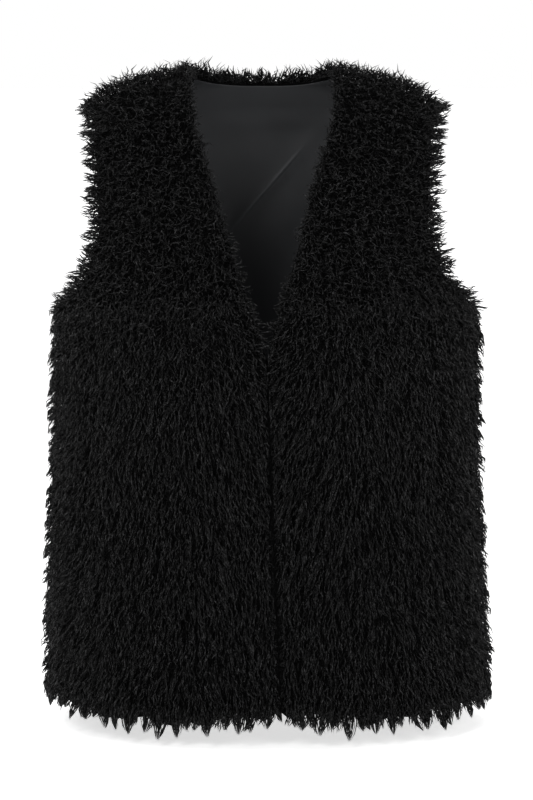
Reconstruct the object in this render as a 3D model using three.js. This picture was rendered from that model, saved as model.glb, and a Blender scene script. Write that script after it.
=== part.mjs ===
// A shaggy fur vest that stands hollow, as it does when it is worn: two fronts and a back of long-pile fur
// cloth, and a lining in three panels. Millimetres, +Z up. The front faces -Y. The origin is midway between the
// two shoulder points beside the neck, where the wearer's shoulders carry it.
import * as THREE from 'three';

// Pile, walls and gaps
const PILE = 12;
const SEAM_GAP = 0.3;
const FRONT_GAP = 1.4;
const LINING_WALL = 1.0;
const LINING_CLEARANCE = 0.95;
const UNDERARM_SLACK = { depth: 1.2, height: 30 };

// Heights and half widths of the cut edges of the cloth
const HEM_Z = -600;
const HEM_SIDE_RISE = 17;
const HEM_CORNER_RISE = 5;
const HEM_CORNER_SHARE = 0.09;
const NECK_HALF_WIDTH = 70;
const NECK_BACK_Z = -10;
const SHOULDER_HALF_WIDTH = 160;
const SHOULDER_TIP_Z = -31;
const UNDERARM_Z = -224;
const BACK_NECK_LINE_AT_HEM = 104;

// The front edges lean to one side on their way down
const LEAN_TOP_Z = -214;
const LEAN = 12.5;

// How far the pile reaches past each cut edge
const HEM_REACH = 20;
const HEM_RAGGED = 6;
const ARMHOLE_REACH = 9;
const NECK_REACH = 8.5;
const BACK_NECK_REACH = 18;
const UNDERARM_REACH = { first: 0.35, gain: 0.3 };
const BACK_NECK_REACH_GAIN = 1.6;
const LIP_LIFT = 0.25;
const TUFT_RELIEF = 2.4;
const FULL_TUFT_ROW_GAP = 15;

// Level sections of the body: half width, depth in front of and behind the side seams, the two exponents of
// its outline, the first for how flat it lies across, the second for how it rounds to the side, and how far it
// sits to one side.
const SECTIONS = [
  { z: 0, half: 70, front: 30, back: 54, across: 2.0, round: 0.75, shift: -3 },
  { z: -3, half: 86, front: 37, back: 57, across: 2.0, round: 0.73, shift: -3 },
  { z: -7, half: 108, front: 43, back: 60, across: 2.02, round: 0.7, shift: -3 },
  { z: -13, half: 131, front: 49, back: 64, across: 2.06, round: 0.65, shift: -2.5 },
  { z: -21, half: 149, front: 55, back: 69, across: 2.12, round: 0.6, shift: -2.5 },
  { z: -31, half: 160, front: 61, back: 75, across: 2.18, round: 0.55, shift: -2 },
  { z: -45, half: 170, front: 68, back: 80, across: 2.22, round: 0.5, shift: -2 },
  { z: -60, half: 177, front: 74, back: 85, across: 2.25, round: 0.48, shift: -2 },
  { z: -85, half: 184, front: 85, back: 90, across: 2.3, round: 0.45, shift: -2 },
  { z: -111, half: 187, front: 94, back: 94, across: 2.35, round: 0.43, shift: -2 },
  { z: -150, half: 190.5, front: 106, back: 97, across: 2.35, round: 0.43, shift: -1 },
  { z: -218, half: 196, front: 117, back: 98, across: 2.35, round: 0.43, shift: 0 },
  { z: -250, half: 196, front: 117.5, back: 96, across: 2.35, round: 0.43, shift: 0 },
  { z: -290, half: 196, front: 115.5, back: 93, across: 2.35, round: 0.43, shift: 0 },
  { z: -330, half: 196.5, front: 112, back: 90.5, across: 2.35, round: 0.43, shift: 0 },
  { z: -370, half: 197.5, front: 109, back: 89.5, across: 2.35, round: 0.43, shift: 0 },
  { z: -410, half: 199, front: 107.5, back: 91, across: 2.35, round: 0.43, shift: 0 },
  { z: -455, half: 201.5, front: 109, back: 95.5, across: 2.35, round: 0.43, shift: 0.5 },
  { z: -500, half: 204, front: 112, back: 101.5, across: 2.35, round: 0.43, shift: 1 },
  { z: -555, half: 206.5, front: 116.5, back: 108.5, across: 2.35, round: 0.43, shift: 2 },
  { z: -610, half: 207.5, front: 120, back: 113, across: 2.35, round: 0.43, shift: 3 },
];

// Half width of the V neck, cut edge to the middle line, and of the strip between the front edges below it
const NECKLINE = [
  { z: 0, half: NECK_HALF_WIDTH },
  { z: -20, half: 69.6 },
  { z: -43, half: 66 },
  { z: -88, half: 52.5 },
  { z: -144, half: 36.5 },
  { z: -190, half: 22.5 },
  { z: -218, half: 13 },
  { z: -240, half: 7 },
  { z: -262, half: 5 },
  { z: HEM_Z, half: 5 },
];

// How far the armhole reaches forward and backward from the side seam
const ARMHOLE = [
  { z: UNDERARM_Z, front: 0, back: 0 },
  { z: -217, front: 38, back: 33 },
  { z: -204, front: 60, back: 50 },
  { z: -184, front: 68, back: 56 },
  { z: -168, front: 71, back: 60 },
  { z: -150, front: 71, back: 61 },
  { z: -135, front: 68, back: 60 },
  { z: -111, front: 61, back: 57 },
  { z: -85, front: 51, back: 51 },
  { z: -60, front: 37, back: 39 },
  { z: -45, front: 26, back: 28 },
  { z: -38, front: 17, back: 18 },
  { z: SHOULDER_TIP_Z, front: 0, back: 0 },
];

// Soft upright folds: where they lie round the body in degrees from the middle of the front, how wide they
// are, how deep, and over what heights. Side -1 is the left as seen from the front.
const FOLDS = [
  { side: -1, angle: 51, drift: 8, width: 6, depth: 6, top: -225, foot: -560 },
  { side: 1, angle: 50, drift: 6, width: 6, depth: 6, top: -240, foot: -550 },
  { side: -1, angle: 24, drift: -5, width: 7, depth: 3, top: -330, foot: -610 },
  { side: 1, angle: 27, drift: 4, width: 8, depth: 3.5, top: -380, foot: -610 },
  { side: -1, angle: 152, drift: -7, width: 8, depth: 5, top: -250, foot: -620 },
  { side: 1, angle: 148, drift: 6, width: 9, depth: 5.5, top: -230, foot: -600 },
  { side: 1, angle: 118, drift: 3, width: 7, depth: 4, top: -320, foot: -620 },
];

// A fold fades in from its top, and stops fading out at this share of its height
const FOLD_FOOT_SHARE = 0.85;
const FOLD_FADE = 0.8;

// The crease that runs slantwise over the back lining, in front view: from its low end to its high end
const CREASE = { lowX: -30, lowZ: -150, highX: 34, highZ: -76, height: 4, width: 6, reach: 0.75 };

// The slack hollow below the crease: its depth, how far below the crease it lies, and how wide it is
const SLACK = { depth: 3, below: 28, width: 30 };

// Grid
const LOWER_ROWS = 16;
const UPPER_ROWS = 14;
const EASING_AT_UNDERARM = 1.7;
const EASING_AT_SHOULDER = 1.6;
const FRONT_COLUMNS = 14;
const NECK_COLUMNS = 7;
const SHOULDER_COLUMNS = 7;
const LINING_ROW_STEP = 2;
const ARC_SAMPLES = 48;
const RIDGE_HALVINGS = 40;

const QUARTER = Math.PI / 2;
const mix = (a, b, t) => a + (b - a) * t;
const degrees = (angle) => (angle * Math.PI) / 180;
const bump = (t) => Math.exp(-t * t);

// A monotone cubic through one column of a table
function smooth(table, column) {
  const rows = [...table].sort((a, b) => a.z - b.z);
  const steps = rows.slice(1).map((row, i) => row.z - rows[i].z);
  const slopes = rows.slice(1).map((row, i) => (row[column] - rows[i][column]) / steps[i]);
  const tangents = rows.map((_, i) => {
    if (i === 0) return slopes[0];
    if (i === rows.length - 1) return slopes[i - 1];
    if (slopes[i - 1] * slopes[i] <= 0) return 0;
    return (2 * slopes[i - 1] * slopes[i]) / (slopes[i - 1] + slopes[i]);
  });
  return (z) => {
    const held = Math.min(Math.max(z, rows[0].z), rows.at(-1).z);
    const i = Math.min(rows.findLastIndex((row) => row.z <= held), rows.length - 2);
    const t = (held - rows[i].z) / steps[i];
    const [a, b] = [rows[i][column], rows[i + 1][column]];
    const [ta, tb] = [tangents[i] * steps[i], tangents[i + 1] * steps[i]];
    return a + t * (ta + t * (3 * (b - a) - 2 * ta - tb + t * (2 * (a - b) + ta + tb)));
  };
}

const sectionColumns = Object.keys(SECTIONS[0]).slice(1);
const section = Object.fromEntries(sectionColumns.map((name) => [name, smooth(SECTIONS, name)]));
const neckline = smooth(NECKLINE, 'half');
const armhole = { front: smooth(ARMHOLE, 'front'), back: smooth(ARMHOLE, 'back') };

// How far the front edges lean from the middle of the body at a height, and where they meet
const leanAt = (z) => LEAN * Math.max(0, (LEAN_TOP_Z - z) / (LEAN_TOP_Z - HEM_Z));
const meetingAt = (z) => section.shift(z) + leanAt(z);

// A point of the body's bare form. The turn is 0 at the middle of the front and two quarters at the middle of
// the back.
function formPoint(turn, z) {
  const depth = turn <= QUARTER ? section.front(z) : section.back(z);
  const [s, c] = [Math.sin(turn), Math.cos(turn)];
  const x = section.half(z) * Math.sign(s) * Math.abs(s) ** (2 / section.across(z));
  const y = -depth * Math.sign(c) * Math.abs(c) ** (2 * section.round(z));
  return new THREE.Vector3(x, y, z);
}

function formNormal(turn, z) {
  const [turnStep, zStep] = [0.002, 0.5];
  const along = formPoint(turn + turnStep, z).sub(formPoint(turn - turnStep, z));
  const up = formPoint(turn, z + zStep).sub(formPoint(turn, z - zStep));
  return along.cross(up).normalize();
}

function foldDepth(side, turn, z) {
  return FOLDS.filter((fold) => fold.side === side).reduce((sum, fold) => {
    const down = (fold.top - z) / (fold.top - fold.foot);
    if (down <= 0) return sum;
    const fade = Math.sin(Math.PI * Math.min(down, FOLD_FOOT_SHARE)) ** FOLD_FADE;
    const away = (turn - degrees(fold.angle + fold.drift * down)) / degrees(fold.width);
    return sum + fold.depth * fade * bump(away);
  }, 0);
}

// The shoulder seam runs on the ridge of the form: its height at a half width
function ridgeZ(x) {
  let [low, high] = [SHOULDER_TIP_Z, 0];
  for (let i = 0; i < RIDGE_HALVINGS; i += 1) {
    const middle = (low + high) / 2;
    if (section.half(middle) > x) low = middle;
    else high = middle;
  }
  return (low + high) / 2;
}

// The turn at which the form is so far from the middle line, or so far from the side seams
function turnAtX(x, z) {
  return Math.sign(x) * Math.asin(Math.min(1, Math.abs(x) / section.half(z)) ** (section.across(z) / 2));
}

function turnAtReach(face, z) {
  if (z <= UNDERARM_Z) return QUARTER;
  const reach = Math.max(0, armhole[face](z)) / section[face](z);
  const turn = Math.acos(Math.min(1, reach) ** (1 / (2 * section.round(z))));
  return face === 'front' ? turn : Math.PI - turn;
}

const sideHemZ = HEM_Z + HEM_SIDE_RISE;
const underarmShare = (UNDERARM_Z - sideHemZ) / (SHOULDER_TIP_Z - sideHemZ);

// Shares of the way up for the rows, one of them at the underarm, and closer ones near it and at the shoulder
const eased = (t) => 1 - (1 - t ** EASING_AT_UNDERARM) ** EASING_AT_SHOULDER;
const ROWS = [
  ...Array.from({ length: LOWER_ROWS }, (_, i) => (underarmShare * i) / LOWER_ROWS),
  ...Array.from({ length: UPPER_ROWS + 1 }, (_, i) => mix(underarmShare, 1, eased(i / UPPER_ROWS))),
];

// Points of one row at equal distances, along a path given by a share from 0 to 1
function evenly(path, count) {
  const samples = Array.from({ length: ARC_SAMPLES + 1 }, (_, i) => path(i / ARC_SAMPLES));
  const lengths = [0];
  for (let i = 1; i <= ARC_SAMPLES; i += 1) {
    lengths.push(lengths[i - 1] + samples[i].point.distanceTo(samples[i - 1].point));
  }
  return Array.from({ length: count + 1 }, (_, k) => {
    const goal = (lengths.at(-1) * k) / count;
    const i = Math.min(lengths.findLastIndex((length) => length <= goal), ARC_SAMPLES - 1);
    const t = Math.min(1, (goal - lengths[i]) / (lengths[i + 1] - lengths[i]));
    return path((i + t) / ARC_SAMPLES);
  });
}

// One station of a panel: its point on the cloth and the cloth's outward normal
function station(side, turn, z) {
  const normal = formNormal(turn, z);
  const point = formPoint(turn, z).addScaledVector(normal, -foldDepth(side, turn, z));
  point.x = side * point.x + section.shift(z);
  normal.x *= side;
  return { point, normal };
}

const shoulderZ = (share) => ridgeZ(mix(NECK_HALF_WIDTH, SHOULDER_HALF_WIDTH, share));
const sideRise = (share) => HEM_SIDE_RISE * share ** 3;

function frontRow(side, rise) {
  const hem = (share) => HEM_Z + sideRise(share) + HEM_CORNER_RISE * bump(share / HEM_CORNER_SHARE);
  const height = (share) => mix(hem(share), shoulderZ(share), rise);
  const inner = turnAtX(neckline(height(0)) + side * leanAt(height(0)), height(0));
  const outer = turnAtReach('front', height(1));
  const path = (share) => station(side, mix(inner, outer, share), height(share));
  return evenly(path, FRONT_COLUMNS);
}

// Half of a row of the back, from the middle out to the side seam or armhole
function halfBackRow(side, rise) {
  const neckTop = (share) => NECK_BACK_Z * (1 - share ** 3);
  const joint = NECK_COLUMNS / (NECK_COLUMNS + SHOULDER_COLUMNS);
  const neckHeight = (share) => mix(HEM_Z + sideRise(share * joint), neckTop(share), rise);
  const sideHeight = (share) => mix(HEM_Z + sideRise(mix(joint, 1, share)), shoulderZ(share), rise);
  const jointX = mix(BACK_NECK_LINE_AT_HEM, NECK_HALF_WIDTH, rise);
  const neckTurn = (share) => Math.PI - turnAtX(share * jointX, neckHeight(share));
  const jointTurn = neckTurn(1);
  const outer = turnAtReach('back', sideHeight(1));
  const neckPath = (share) => station(side, neckTurn(share), neckHeight(share));
  const sidePath = (share) => station(side, mix(jointTurn, outer, share), sideHeight(share));
  return [...evenly(neckPath, NECK_COLUMNS), ...evenly(sidePath, SHOULDER_COLUMNS).slice(1)];
}

function backRow(rise) {
  return [...halfBackRow(-1, rise).reverse(), ...halfBackRow(1, rise).slice(1)];
}

// A number from -1 to 1 that differs from one grid point to the next
const uneven = (i, j) => 2 * ((Math.abs(Math.sin(i * 12.9898 + j * 78.233)) * 43758.5453) % 1) - 1;

// Where the pile passes a cut edge: how far out, and the share of its depth that it still fills
const LIP = [
  { out: 0.55, under: 0.12, over: 0.92 },
  { out: 1, under: 0.34, over: 0.62 },
];

// A grid of stations, each with the offsets of its wall's two faces. Lip stations lie outside the free edges.
class Panel {
  constructor(rows) {
    this.stations = new Map();
    this.columnCount = rows[0].length;
    rows.forEach((row, j) => row.forEach((at, i) => this.set(i, j, at.point, at.normal, 0, PILE)));
  }

  set(i, j, point, normal, under, over) {
    this.stations.set(`${i},${j}`, { point, normal, under, over });
  }

  get(i, j) {
    return this.stations.get(`${i},${j}`);
  }

  // The way out of the panel at an edge point, square to the edge and a little lifted off the cloth
  wayOut(i, j, before, after, hand) {
    const { normal } = this.get(i, j);
    const edge = this.get(...after).point.clone().sub(this.get(...before).point);
    return edge.cross(normal).multiplyScalar(hand).normalize().addScaledVector(normal, LIP_LIFT).normalize();
  }

  // Adds the lip stations past one edge point, in the grid direction (stepI, stepJ)
  lip(i, j, [stepI, stepJ], way, reach) {
    const { point, normal } = this.get(i, j);
    LIP.forEach(({ out, under, over }, k) => {
      const there = point.clone().addScaledVector(way, reach * out);
      this.set(i + stepI * (k + 1), j + stepJ * (k + 1), there, normal.clone(), under * PILE, over * PILE);
    });
  }

  // Stations in the corner between two lips, each the sum of the two steps from the corner point
  lipCorner(i, j, stepI, stepJ) {
    const corner = this.get(i, j).point;
    LIP.forEach((across, a) => {
      LIP.forEach((down, b) => {
        const one = this.get(i + stepI * (a + 1), j).point;
        const two = this.get(i, j + stepJ * (b + 1)).point;
        const there = one.clone().add(two).sub(corner);
        const { normal } = this.get(i, j);
        const under = Math.max(across.under, down.under) * PILE;
        const over = Math.min(across.over, down.over) * PILE;
        this.set(i + stepI * (a + 1), j + stepJ * (b + 1), there, normal.clone(), under, over);
      });
    });
  }

  // The closed wall between the under and over faces, each cell split along its shorter diagonal. keep holds a
  // point on its own side of the seams, and relief raises an outer point.
  wall(keep, relief) {
    const faces = [];
    const corners = [];
    const first = new Map();
    for (const [key, station] of this.stations) {
      const { point, normal, under, over } = station;
      const tuft = relief(...key.split(',').map(Number));
      first.set(station, corners.length);
      corners.push(keep(point.clone().addScaledVector(normal, over + tuft)));
      corners.push(keep(point.clone().addScaledVector(normal, under)));
    }
    const edges = new Map();
    const use = (a, b) => {
      if (edges.has(`${b},${a}`)) edges.delete(`${b},${a}`);
      else edges.set(`${a},${b}`, [a, b]);
    };
    const triangle = (a, b, c) => {
      faces.push([a, b, c], [a + 1, c + 1, b + 1]);
      use(a, b);
      use(b, c);
      use(c, a);
    };
    for (const key of this.stations.keys()) {
      const [i, j] = key.split(',').map(Number);
      const cell = [[i, j], [i + 1, j], [i + 1, j + 1], [i, j + 1]].map((at) => this.get(...at));
      if (cell.includes(undefined)) continue;
      const [a, b, c, d] = cell.map((at) => first.get(at));
      if (cell[0].point.distanceTo(cell[2].point) <= cell[1].point.distanceTo(cell[3].point)) {
        triangle(a, b, c);
        triangle(a, c, d);
      } else {
        triangle(a, b, d);
        triangle(b, c, d);
      }
    }
    for (const [a, b] of edges.values()) faces.push([a, a + 1, b + 1], [a, b + 1, b]);
    return solid(corners, faces);
  }
}

// A mesh geometry from corners and triangles, with its faces turned outward
function solid(corners, faces) {
  const volume = faces.reduce((sum, [a, b, c]) => {
    return sum + corners[a].dot(corners[b].clone().cross(corners[c]));
  }, 0);
  const geometry = new THREE.BufferGeometry();
  geometry.setAttribute('position', new THREE.Float32BufferAttribute(corners.flatMap((p) => p.toArray()), 3));
  geometry.setIndex(faces.flatMap(([a, b, c]) => (volume > 0 ? [a, b, c] : [a, c, b])));
  geometry.computeVertexNormals();
  return geometry;
}

const seamY = SEAM_GAP / 2;
const beforeSeam = (p) => p.setY(Math.min(p.y, -seamY));
const behindSeam = (p) => p.setY(Math.max(p.y, seamY));
const besideEdge = (side) => (p) => {
  const clear = meetingAt(p.z) + (side * FRONT_GAP) / 2;
  return p.setX(side > 0 ? Math.max(p.x, clear) : Math.min(p.x, clear));
};

const underarmRow = LOWER_ROWS;
const topRow = LOWER_ROWS + UPPER_ROWS;

// How far the pile reaches into the armhole at a row, less in its lowest corner
const armholeReach = (j) => {
  return ARMHOLE_REACH * Math.min(1, UNDERARM_REACH.first + UNDERARM_REACH.gain * (j - underarmRow));
};

// The tufts that stand a little higher or lower on the pile, less so where rows crowd, and none on a seam
function tufts(isSeam) {
  const gaps = ROWS.slice(1).map((rise, j) => (ROWS[j] - rise) * HEM_Z);
  const room = (j) => {
    const row = Math.min(Math.max(j, 1), gaps.length - 1);
    return Math.min(1, gaps[row - 1] / FULL_TUFT_ROW_GAP, gaps[row] / FULL_TUFT_ROW_GAP);
  };
  return (i, j) => (isSeam(i, j) ? 0 : TUFT_RELIEF * room(j) * uneven(i, j));
}

// Lip stations along the hem, for the columns from the first to the last
function addHemLip(panel, hand) {
  const last = panel.columnCount - 1;
  for (let i = 0; i <= last; i += 1) {
    const [before, after] = [[Math.max(i - 1, 0), 0], [Math.min(i + 1, last), 0]];
    const way = panel.wayOut(i, 0, before, after, hand);
    panel.lip(i, 0, [0, -1], way, HEM_REACH + HEM_RAGGED * uneven(i, 7));
  }
}

function frontPanel(side) {
  const panel = new Panel(ROWS.map((rise) => frontRow(side, rise)));
  const last = panel.columnCount - 1;
  addHemLip(panel, side);
  for (let j = 0; j <= topRow; j += 1) {
    const { point } = panel.get(0, j);
    const room = Math.abs(point.x - meetingAt(point.z)) - FRONT_GAP / 2;
    const before = [0, Math.max(j - 1, 0)];
    const after = [0, Math.min(j + 1, topRow)];
    panel.lip(0, j, [-1, 0], panel.wayOut(0, j, before, after, -side), Math.min(NECK_REACH, room));
  }
  for (let j = underarmRow; j <= topRow; j += 1) {
    const before = [last, Math.max(j - 1, underarmRow)];
    const after = [last, Math.min(j + 1, topRow)];
    const reach = armholeReach(j);
    panel.lip(last, j, [1, 0], panel.wayOut(last, j, before, after, side), reach);
  }
  panel.lipCorner(0, 0, -1, -1);
  return panel;
}

function backPanel() {
  const panel = new Panel(ROWS.map(backRow));
  const last = panel.columnCount - 1;
  addHemLip(panel, -1);
  for (let j = underarmRow; j <= topRow; j += 1) {
    const [down, up] = [Math.max(j - 1, underarmRow), Math.min(j + 1, topRow)];
    const reach = armholeReach(j);
    panel.lip(0, j, [-1, 0], panel.wayOut(0, j, [0, down], [0, up], 1), reach);
    panel.lip(last, j, [1, 0], panel.wayOut(last, j, [last, down], [last, up], -1), reach);
  }
  for (let i = SHOULDER_COLUMNS; i <= last - SHOULDER_COLUMNS; i += 1) {
    const [before, after] = [Math.max(i - 1, SHOULDER_COLUMNS), Math.min(i + 1, last - SHOULDER_COLUMNS)];
    const fromCorner = Math.min(i - SHOULDER_COLUMNS, last - SHOULDER_COLUMNS - i) / NECK_COLUMNS;
    const reach = mix(NECK_REACH, BACK_NECK_REACH, Math.min(1, BACK_NECK_REACH_GAIN * fromCorner));
    panel.lip(i, topRow, [0, 1], panel.wayOut(i, topRow, [before, topRow], [after, topRow], 1), reach);
  }
  return panel;
}

// How far the back lining stands in from the cloth: a slack hollow with a slanting ridge along its upper edge
function creaseLift(point) {
  const [runX, runZ] = [CREASE.highX - CREASE.lowX, CREASE.highZ - CREASE.lowZ];
  const length = Math.hypot(runX, runZ);
  const along = ((point.x - CREASE.lowX) * runX + (point.z - CREASE.lowZ) * runZ) / length;
  const across = ((point.x - CREASE.lowX) * -runZ + (point.z - CREASE.lowZ) * runX) / length;
  const middle = bump((along - length / 2) / (CREASE.reach * length));
  const slack = across < 0 ? SLACK.depth * bump((across + SLACK.below) / SLACK.width) : 0;
  return middle * (CREASE.height * bump(across / CREASE.width) + slack);
}

// A lining laid on the inner face of a panel, from every second row below the armholes and all those above
function liningOf(panel, keep, lift) {
  const rows = [];
  for (let j = 0; j <= topRow; j += j < underarmRow ? LINING_ROW_STEP : 1) {
    rows.push(Array.from({ length: panel.columnCount }, (_, i) => panel.get(i, j)));
  }
  const lining = new Panel(rows);
  for (const at of lining.stations.values()) {
    const slack = UNDERARM_SLACK.depth * bump((at.point.z - UNDERARM_Z) / UNDERARM_SLACK.height);
    at.over = -LINING_CLEARANCE - slack - lift(at.point);
    at.under = at.over - LINING_WALL;
  }
  return lining.wall(keep, () => 0);
}

const furCloth = new THREE.MeshStandardMaterial({ color: 0x0d0d0e, roughness: 0.85, metalness: 0 });
const liningCloth = new THREE.MeshStandardMaterial({ color: 0x26272a, roughness: 0.5, metalness: 0 });

function named(name, geometry, material) {
  const mesh = new THREE.Mesh(geometry, material);
  mesh.name = name;
  return mesh;
}

const vest = new THREE.Group();
vest.name = 'fur_vest';

for (const [word, side] of [['left', -1], ['right', 1]]) {
  const panel = frontPanel(side);
  const last = panel.columnCount - 1;
  const keep = (p) => besideEdge(side)(beforeSeam(p));
  const isSeam = (i, j) => (i >= last && j <= underarmRow) || j >= topRow;
  vest.add(named(`front_${word}`, panel.wall(keep, tufts(isSeam)), furCloth));
  vest.add(named(`lining_front_${word}`, liningOf(panel, keep, () => 0), liningCloth));
}

const back = backPanel();
const lastBack = back.columnCount - 1;
const isBackSeam = (i, j) => {
  const onSide = (i <= 0 || i >= lastBack) && j <= underarmRow;
  const onShoulder = j >= topRow && (i <= SHOULDER_COLUMNS || i >= lastBack - SHOULDER_COLUMNS);
  return onSide || onShoulder;
};
vest.add(named('back', back.wall(behindSeam, tufts(isBackSeam)), furCloth));
vest.add(named('lining_back', liningOf(back, behindSeam, creaseLift), liningCloth));

export default vest;
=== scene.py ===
import math

import bpy
import numpy as np
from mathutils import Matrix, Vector


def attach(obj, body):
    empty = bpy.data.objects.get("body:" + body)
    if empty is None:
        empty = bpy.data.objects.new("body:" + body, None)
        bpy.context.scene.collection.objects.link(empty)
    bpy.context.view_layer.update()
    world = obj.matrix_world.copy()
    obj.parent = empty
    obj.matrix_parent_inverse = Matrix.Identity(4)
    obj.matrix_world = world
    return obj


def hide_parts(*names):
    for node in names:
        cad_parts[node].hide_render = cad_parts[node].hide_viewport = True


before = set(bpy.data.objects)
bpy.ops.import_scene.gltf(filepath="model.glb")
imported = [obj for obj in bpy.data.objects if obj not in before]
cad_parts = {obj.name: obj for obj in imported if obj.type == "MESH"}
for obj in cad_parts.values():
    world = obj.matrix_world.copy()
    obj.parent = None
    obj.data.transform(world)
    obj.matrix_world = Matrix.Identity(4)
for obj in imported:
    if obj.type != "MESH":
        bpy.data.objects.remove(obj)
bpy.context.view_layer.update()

MM = 0.001
QUARTER = math.pi / 2

# Heights and half widths of the cut edges of the cloth
HEM_Z = -600
HEM_SIDE_RISE = 17
HEM_CORNER_RISE = 5
HEM_CORNER_SHARE = 0.09
NECK_HALF_WIDTH = 70
NECK_BACK_Z = -10
SHOULDER_HALF_WIDTH = 160
SHOULDER_TIP_Z = -31
UNDERARM_Z = -224
BACK_NECK_LINE_AT_HEM = 104

# The line where the fronts meet leans to the right below this height, by this much at the hem
LEAN_TOP_Z = -214
LEAN = 12.5

# How far the fronts lap at the opening, and the cloths at the seams, so that no light comes through
FRONT_LAP = 0.3
SEAM_LAP = 0.25

# Level sections of the body: half width, depth in front of and behind the side seams, the two exponents
# of its outline, and how far it sits to one side
SECTION_COLUMNS = ("z", "half", "front", "back", "across", "round", "shift")
SECTIONS = [
    (0, 70, 30, 54, 2.0, 0.75, -3),
    (-3, 86, 37, 57, 2.0, 0.73, -3),
    (-7, 108, 43, 60, 2.02, 0.7, -3),
    (-13, 131, 49, 64, 2.06, 0.65, -2.5),
    (-21, 149, 55, 69, 2.12, 0.6, -2.5),
    (-31, 160, 61, 75, 2.18, 0.55, -2),
    (-45, 170, 68, 80, 2.22, 0.5, -2),
    (-60, 177, 74, 85, 2.25, 0.48, -2),
    (-85, 184, 85, 90, 2.3, 0.45, -2),
    (-111, 187, 94, 94, 2.35, 0.43, -2),
    (-150, 190.5, 106, 97, 2.35, 0.43, -1),
    (-218, 196, 117, 98, 2.35, 0.43, 0),
    (-250, 196, 117.5, 96, 2.35, 0.43, 0),
    (-290, 196, 115.5, 93, 2.35, 0.43, 0),
    (-330, 196.5, 112, 90.5, 2.35, 0.43, 0),
    (-370, 197.5, 109, 89.5, 2.35, 0.43, 0),
    (-410, 199, 107.5, 91, 2.35, 0.43, 0),
    (-455, 201.5, 109, 95.5, 2.35, 0.43, 0.5),
    (-500, 204, 112, 101.5, 2.35, 0.43, 1),
    (-555, 206.5, 116.5, 108.5, 2.35, 0.43, 2),
    (-610, 207.5, 120, 113, 2.35, 0.43, 3),
]

# Half width of the V neck by height, and of the strip between the front edges below it
NECKLINE_COLUMNS = ("z", "half")
NECKLINE = [
    (0, NECK_HALF_WIDTH), (-20, 69.6), (-43, 66), (-88, 52.5), (-144, 36.5), (-190, 22.5), (-218, 13),
    (-240, 7), (-262, 5), (HEM_Z, 5),
]

# How far the armhole reaches forward and backward from the side seam
ARMHOLE_COLUMNS = ("z", "front", "back")
ARMHOLE = [
    (UNDERARM_Z, 0, 0), (-217, 38, 33), (-204, 60, 50), (-184, 68, 56), (-168, 71, 60), (-150, 71, 61),
    (-135, 68, 60), (-111, 61, 57), (-85, 51, 51), (-60, 37, 39), (-45, 26, 28), (-38, 17, 18),
    (SHOULDER_TIP_Z, 0, 0),
]

# Soft upright troughs of the cloth, by degrees from the middle of the front. Side -1 is the left in front
# view.
FOLD_COLUMNS = ("side", "angle", "drift", "width", "depth", "top", "foot")
FOLDS = [
    (-1, 51, 8, 6, 6, -225, -560),
    (1, 50, 6, 6, 6, -240, -550),
    (-1, 24, -5, 7, 3, -330, -610),
    (1, 27, 4, 8, 3.5, -380, -610),
    (-1, 152, -7, 8, 5, -250, -620),
    (1, 148, 6, 9, 5.5, -230, -600),
    (1, 118, 3, 7, 4, -320, -620),
]
FOLD_FOOT_SHARE = 0.85
FOLD_FADE = 0.8

# The crease of the back lining, from its low end to its high end in front view, and the slack below it
CREASE = {"low": (-30, -150), "high": (34, -76), "height": 3.5, "width": 4, "reach": 0.75}
SLACK = {"depth": 3, "below": 28, "width": 30}

# Thicknesses: the cloth under the pile, the lining, and how far the lining stands in
GROUND = 2.2
GROUND_BACKING = 0.1
LINING_WALL = 1.0
LINING_CLEARANCE = 0.95
UNDERARM_SLACK = {"depth": 1.2, "height": 30}

# How far the cloth under the pile rolls past its cut edges: the armholes, the opening, the V neck and the
# hem, which is toothed. At the back of the neck it turns over the lining.
ROLLED_EDGE = 3.2
ROLLED_OPENING = 5.5
ROLLED_NECK = 1.2
ROLLED_HEM = (3, 15)
NECK_TURN = {"rise": 1.4, "over": 2.3}
V_FOOT = (-262, -244)

# Rows and columns of the grids: the form that the pile is strewn on, and the shells. Rows come in two
# counts, below and above the underarm.
FINE_ROWS = (80, 64)
FINE_COLUMNS = 80
SHELL_ROWS = (22, 20)
SHELL_COLUMNS = 22
LINING_BACK_ROWS = (22, 50)
LINING_BACK_COLUMNS = 28
ARC_SAMPLES = 160
UNDERARM_ROW = FINE_ROWS[0]

# The strands of the pile: their spacing, radius and knots
STRAND_SPACING = 3.2
STRAND_RADIUS = 0.71
BODY_KNOTS = 3
EDGE_KNOTS = 4

# The pile's measures on the body, and on the chest and shoulders, where it lies wild: how far its lay
# spreads and jitters in degrees, how high it is rooted, how long and steep it is, and how much it curls
PILE = {
    "spread": (10, 62), "jitter": (8, 34), "height": (2.4, 6.6), "length": (18.5, 14),
    "root_lift": (0.58, 0.62), "tip_lift": (0.12, 0.27), "curl": (1.4, 2.0),
}
WILD_FROM, WILD_TO = -330, -105

# The pile hangs plumb below this height, and follows the rows of the grid above it
PLUMB_BELOW = -50
PLUMB_BAND = 60

# Long streaks of the pile: the widths and the length of their waves, the height where they are laid out,
# how high the ridges stand, and below which value a groove is bare. The fronts part along a groove.
STREAK = {"waves": (5.6, 8.3, 13.1), "run": 85, "level": -420, "height": 2.4, "groove": -0.62}
OPENING_GROOVE = 1.0
OPENING_TOP = -250

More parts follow.
